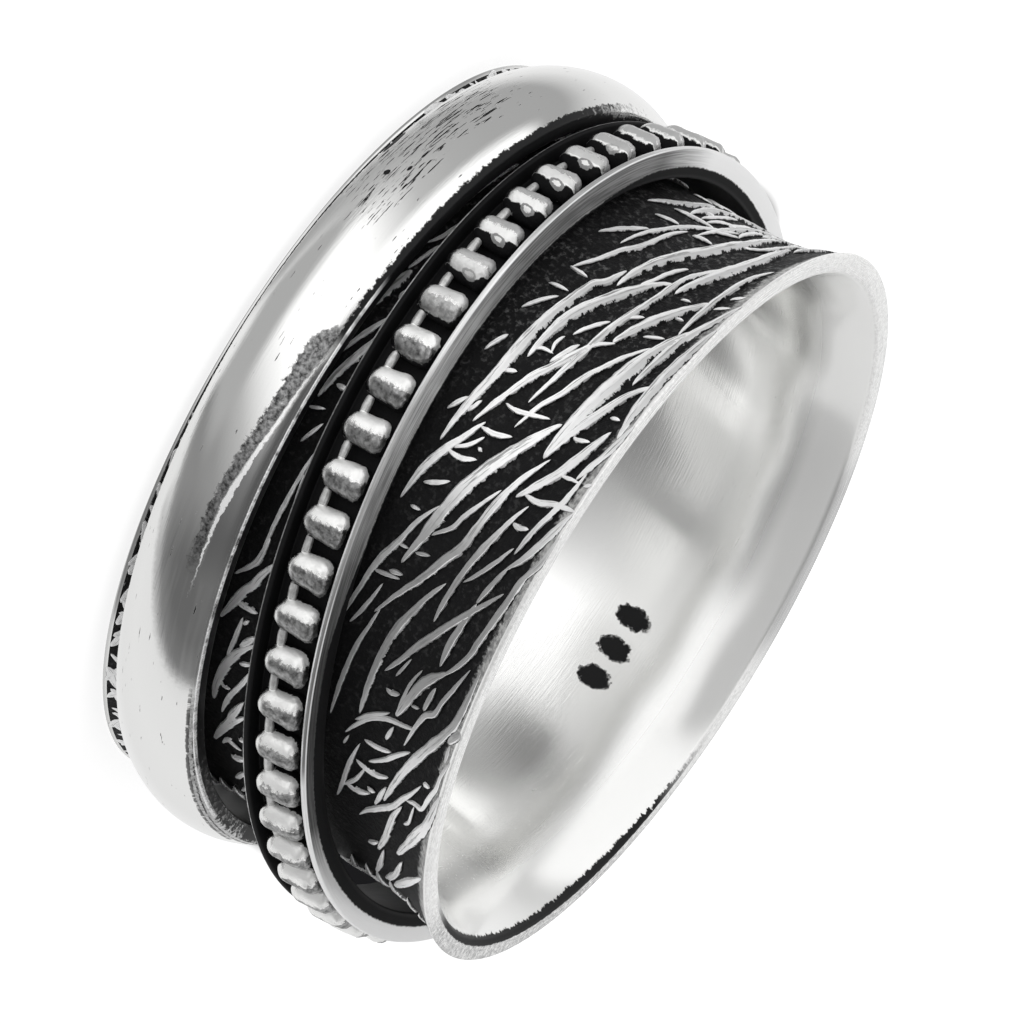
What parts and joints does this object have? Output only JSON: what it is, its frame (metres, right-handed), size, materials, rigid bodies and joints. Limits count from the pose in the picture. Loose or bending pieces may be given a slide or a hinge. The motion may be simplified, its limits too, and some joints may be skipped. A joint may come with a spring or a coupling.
{
  "type": "spinner ring",
  "caption": "Wide flared silver finger ring with raised veins, a plain half-round spinner and a beaded spinner that both turn on its waist.",
  "frame": {"origin": "centre of the lower rim, in the plane that the ring stands on", "axes": "+Z is the axis of the finger hole, up from the lower rim, which is the one beside the plain spinner; -Y is the side that the picture looks at"},
  "size_m": [0.0226, 0.0226, 0.0102],
  "materials": {
    "veined_silver": "oxidised near-black silver with bright raised veins outside",
    "bright_silver": "softly brushed bright silver: the inside of the band and its two lips",
    "polished_silver": "polished silver with fine scratches and oxide along its edges",
    "beaded_silver": "bright silver beads and rails over an oxidised black floor"
  },
  "bodies": {
    "band": {"base_band": "veined_silver"},
    "plain_ring": {"plain_spinner": "polished_silver"},
    "beaded_ring": {"beaded_spinner": "beaded_silver"}
  },
  "joints": [
    {"name": "plain_spin", "type": "hinge", "parent": "band", "child": "plain_ring", "pos_m": [-0.00004, -0.0003, 0.00235], "axis": [-0.0091, -0.0744, 0.9972], "continuous": true},
    {"name": "beaded_spin", "type": "hinge", "parent": "band", "child": "beaded_ring", "pos_m": [0.00015, -0.00004, 0.00597], "axis": [-0.1004, -0.1332, 0.986], "continuous": true}
  ]
}
